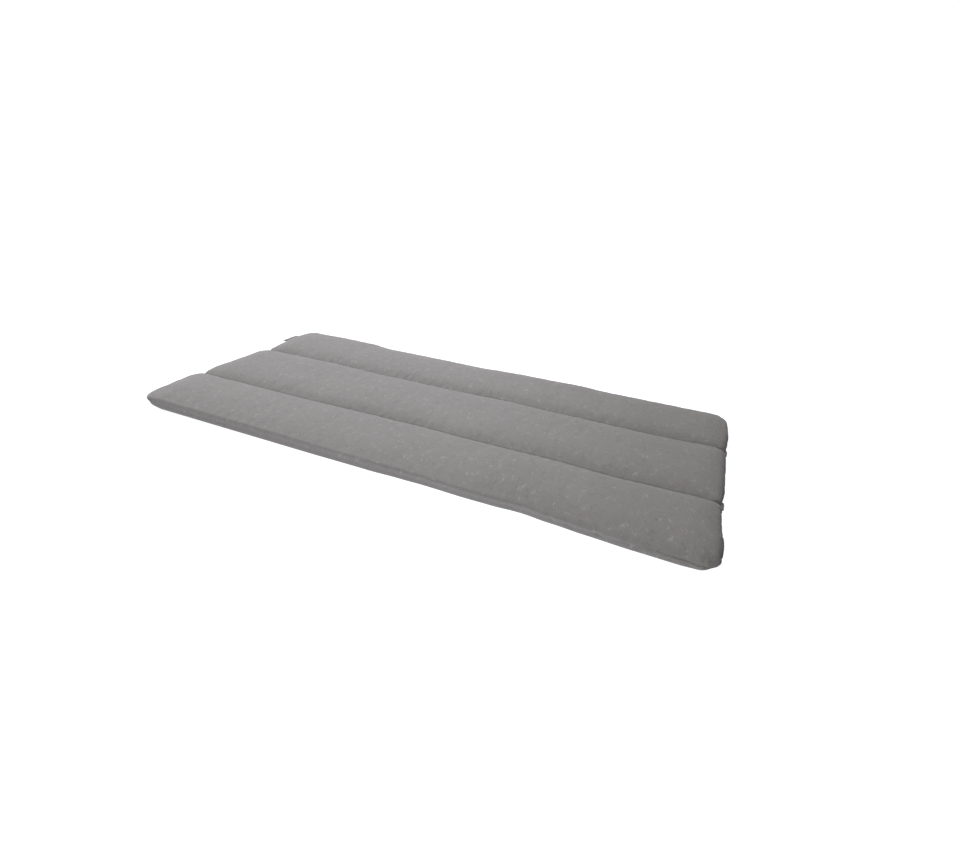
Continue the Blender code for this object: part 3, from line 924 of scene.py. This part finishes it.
def makeTab(name, settings):
    # a strip folded over on itself, its two raw edges sewn into the end of the pad
    sewnIn, legSteps, foldSteps = (tabCloth[key] for key in ("sewnIn", "legSteps", "foldSteps"))
    radius = (settings["thickness"] - tabCloth["thickness"]) / 2
    leg = settings["out"] - radius - tabCloth["thickness"] / 2 + sewnIn
    path = [(-sewnIn + leg * i / legSteps, -radius) for i in range(legSteps)]
    for i in range(foldSteps + 1):
        turn = math.pi * i / foldSteps - math.pi / 2
        path.append((leg - sewnIn + radius * math.cos(turn), radius * math.sin(turn)))
    path += [(out, -up) for out, up in reversed(path[:legSteps])]
    rows = round(settings["width"] / tabCloth["alongStep"])
    bm = flatGrid(len(path) - 1, rows)
    sides = (settings["y"] + settings["width"] * part for part in (-0.5, 0.0, 0.5))
    root = max(endFace(settings["end"], y, settings["height"]) for y in sides)
    for vert in bm.verts:
        step, row = round(vert.co.x), round(vert.co.y)
        out, up = path[step]
        across = settings["width"] * (row / rows - 0.5)
        share = max(0.0, out / settings["out"])
        edge = abs(2.0 * row / rows - 1.0)
        wave = tabCloth["wave"] * math.sin(across * tabCloth["waveTurns"])
        up += wave * share - settings["droop"] * share * share
        up *= 1.0 - tabCloth["edgePinch"] * edge ** 6
        out -= tabCloth["edgeDraw"] * edge ** 8 * share
        vert.co = (settings["end"] * (root + out), settings["y"] + across, settings["height"] + up)
    bmesh.ops.recalc_face_normals(bm, faces=bm.faces)
    uvs = bm.loops.layers.uv.new("cloth")
    length = 2 * leg + math.pi * radius
    for face in bm.faces:
        for loop in face.loops:
            row, step = divmod(loop.vert.index, len(path))  # the grid's points are numbered row by row
            loop[uvs].uv = (length * step / (len(path) - 1), settings["width"] * row / rows)
    tab = finishMesh(name, bm)
    wall = tab.modifiers.new("cloth thickness", "SOLIDIFY")
    wall.thickness = tabCloth["thickness"]
    wall.offset = 0.0
    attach(tab, "root")
    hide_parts(settings["node"])
    return tab


tabPieces = [makeTab("sewnTab." + name, settings) for name, settings in tabs.items()]
print("%d folded tabs made" % len(tabPieces))


stitching = {
    "seed": 3,
    "pitch": 0.0058,
    "uneven": (0.92, 1.08),         # shares of the pitch from one stitch to the next
    "length": 0.0040,
    "thickness": 0.0009,
    "taper": 0.55,
    "rise": 0.0004,
    "lean": 0.12,                   # in radians, to either side
    "endGap": 0.010,
    "halfStep": 0.001,              # how far to either side the channel's direction is read
}


def makeStitches():
    # a row of lock stitches along the bottom of each sewn channel, on the upper and the lower cover
    stitch = bmesh.new()
    bmesh.ops.create_cube(stitch, size=1.0)
    long = [edge for edge in stitch.edges if abs(edge.verts[0].co.x - edge.verts[1].co.x) > 0.5]
    bmesh.ops.subdivide_edges(stitch, edges=long, cuts=3)
    for vert in stitch.verts:
        off = (2 * vert.co.x) ** 2      # 0 in the stitch's middle, 1 at its ends
        thickness = stitching["thickness"] * (1.0 - stitching["taper"] * off)
        vert.co = (vert.co.x * stitching["length"], vert.co.y * thickness,
                   vert.co.z * thickness + stitching["rise"] * (1.0 - off))
    shape = bpy.data.meshes.new("oneStitch")
    stitch.to_mesh(shape)
    stitch.free()
    rows = bmesh.new()
    chance = random.Random(stitching["seed"])
    for seam in pad["seams"]:
        for upper in (True, False):
            x = -halfLength + stitching["endGap"]
            while x < halfLength - stitching["endGap"]:
                before = Vector(padPoint(x - stitching["halfStep"], seam, None if upper else 0.0))
                after = Vector(padPoint(x + stitching["halfStep"], seam, None if upper else 0.0))
                run = (after - before).normalized()
                side = Vector((0.0, 0.0, 1.0 if upper else -1.0)).cross(run).normalized()
                turn = Matrix((run, side, run.cross(side))).transposed().to_4x4()
                lean = Matrix.Rotation(chance.uniform(-stitching["lean"], stitching["lean"]), 4, "Z")
                start = len(rows.verts)
                rows.from_mesh(shape)
                rows.verts.ensure_lookup_table()
                bmesh.ops.transform(rows, matrix=Matrix.Translation((before + after) / 2) @ turn @ lean,
                                    verts=rows.verts[start:])
                x += stitching["pitch"] * chance.uniform(*stitching["uneven"])
    bmesh.ops.recalc_face_normals(rows, faces=rows.faces)
    stitches = finishMesh("seamStitches", rows)
    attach(stitches, "root")
    return stitches


stitches = makeStitches()
print("stitches made, %d faces" % len(stitches.data.polygons))


padCloth = {
    "pitch": 0.0021,                # metres from yarn to yarn
    "wander": 0.9,                  # how far the yarns wander, in yarns
    "wanderScale": 150.0,
    "arch": 0.6,                    # how far a yarn dips where it passes under another
    "dark": (0.1710, 0.1645, 0.1585),
    "light": (0.2390, 0.2310, 0.2225),
    "yarnScale": 90.0,              # how fast the tone of a yarn changes along it
    # how far the cloth goes from dark to light by yarn, by slow patches, by fine ones and by crossing
    "yarnShare": 0.9,
    "slowScale": 9.0,
    "slowShare": 0.35,
    "fineScale": 120.0,
    "fineShare": 0.4,
    "crossingShare": 0.08,
    "hollowShade": 0.55,                 # painted shade: how dark the cloth is made between its yarns, where they dip
    "slub": (0.360, 0.350, 0.338),
    "slubShare": 0.52,              # how strongly the pale and the dark slubs show
    "shadeShare": 0.30,
    "relief": 0.00040,
    "rise": {"weave": 0.7, "fuzz": 0.25, "slub": 0.4},
    "fuzzScale": 2600.0,
    "finish": {"Roughness": 0.90, "Sheen_Weight": 0.12, "Sheen_Roughness": 0.6,
               "Specular_IOR_Level": 0.25},
}
tabWeave = dict(padCloth, pitch=0.0016, dark=(0.118, 0.115, 0.113), light=(0.165, 0.161, 0.158),
                slub=(0.22, 0.215, 0.21), slubShare=0.4, relief=0.00030)

# A slub lies where a fine noise passes through its middle, and is kept only in patches of a
# coarser one. Both noises are drawn out across the pad.
slubShape = {
    "lineScale": 190.0,
    "lineSquash": 0.5,              # under 1 draws it out
    "thinness": 18.0,
    "patchScale": 75.0,
    "patchSquash": 0.6,
    "patchFrom": 0.57,
    "patchEdge": 12.0,
    "dark": (0.3, 0.3, 0.3),        # what a dark slub leaves of the cloth's colour
}
# The sewing thread has painted shade in the hollows of its twist.
thread = {"colour": (0.17, 0.166, 0.163), "hollowShade": 0.8, "twistScale": 900.0,
          "finish": {"Roughness": 0.7, "Sheen_Weight": 0.1}}


def slubs(made, across, along, layer):
    # short wandering threads, as a mask
    line, patch = (made.noise(made.join(across, along * slubShape[kind + "Squash"], place),
                              slubShape[kind + "Scale"], 1.0)
                   for kind, place in (("line", layer), ("patch", layer + 1.0)))
    core = made.within(1.0 - made.maths("ABSOLUTE", line - 0.5) * slubShape["thinness"])
    return core * made.within((patch - slubShape["patchFrom"]) * slubShape["patchEdge"])


def wovenCloth(name, settings):
    # plain weave of uneven, heathered yarns with short wandering slubs
    made = NodeMaker(bpy.data.materials.new(name))
    across, along, _ = made.split(made.node("ShaderNodeUVMap", {"uv_map": "cloth"}, {}))
    wander = [made.noise(made.join(across, along, layer), settings["wanderScale"], 2.0)
              for layer in (0.0, 1.0)]
    u = across / settings["pitch"] + wander[0] * settings["wander"]
    v = along / settings["pitch"] + wander[1] * settings["wander"]
    warp, weft = made.maths("FLOOR", u), made.maths("FLOOR", v)
    du, dv = u - warp - 0.5, v - weft - 0.5
    over = made.maths("PINGPONG", warp + weft, 1.0)
    # each yarn is round across itself, and arches over the yarns that it crosses
    arch = settings["arch"]
    warpTop, weftTop = (made.maths("SQRT", 1.0 - made.maths("MINIMUM", off * off * 4.0, 1.0))
                        * (made.maths("COSINE", run * math.pi) * arch + (1.0 - arch))
                        for off, run in ((du, dv), (dv, du)))
    weave = over * warpTop + (1.0 - over) * weftTop
    # an odd factor on a yarn's number gives each its own tones
    warpTone = made.noise(made.join(warp * 7.31, along * settings["yarnScale"]), 1.0, 2.0)
    weftTone = made.noise(made.join(across * settings["yarnScale"], weft * 5.77, 3.0), 1.0, 2.0)
    tone = over * warpTone + (1.0 - over) * weftTone
    crossing = made.node("ShaderNodeTexWhiteNoise", {}, {"Vector": made.join(warp, weft)})
    slow = made.noise(made.join(across, along, 5.0), settings["slowScale"], 3.0)
    fine = made.noise(made.join(across, along, 6.0), settings["fineScale"], 2.0)
    shade = made.within((tone - 0.5) * settings["yarnShare"] + 0.5
                        + (slow - 0.5) * settings["slowShare"] + (fine - 0.5) * settings["fineShare"]
                        + (crossing - 0.5) * settings["crossingShare"])
    paleSlub, darkSlub = slubs(made, across, along, 11.0), slubs(made, across, along, 23.0)
    colour = made.mix(shade, (*settings["dark"], 1.0), (*settings["light"], 1.0))
    colour = made.mix(paleSlub * settings["slubShare"], colour, (*settings["slub"], 1.0))
    colour = made.mix(darkSlub * settings["shadeShare"], colour, (*slubShape["dark"], 1.0), "MULTIPLY")
    # painted shade: the colour is darkened where the yarns dip, between them
    colour = made.mix(1.0 - weave, colour, (*[settings["hollowShade"]] * 3, 1.0), "MULTIPLY")
    fuzz = made.noise(made.join(across, along, 9.0), settings["fuzzScale"], 2.0)
    rise = settings["rise"]
    raised = weave * rise["weave"] + fuzz * rise["fuzz"] + paleSlub * rise["slub"]
    bump = made.node("ShaderNodeBump", {},
                     {"Strength": 1.0, "Distance": settings["relief"], "Height": raised})
    made.set(Base_Color=colour, Normal=bump, **settings["finish"])
    return made.owner


def plainThread(name, settings):
    made = NodeMaker(bpy.data.materials.new(name))
    place = made.node("ShaderNodeTexCoord", {}, {}, output="Object")
    twist = made.noise(place, settings["twistScale"], 2.0)
    # painted shade: the twist noise darkens the thread's colour towards its hollows
    hollowShade = [settings["hollowShade"] * part for part in settings["colour"]]
    made.set(Base_Color=made.mix(twist, (*hollowShade, 1.0), (*settings["colour"], 1.0)),
             **settings["finish"])
    return made.owner


cover.data.materials.append(wovenCloth("padCloth", padCloth))
tabMaterial = wovenCloth("tabCloth", tabWeave)
for tab in tabPieces:
    tab.data.materials.append(tabMaterial)
stitches.data.materials.append(plainThread("sewingThread", thread))
print("materials made")
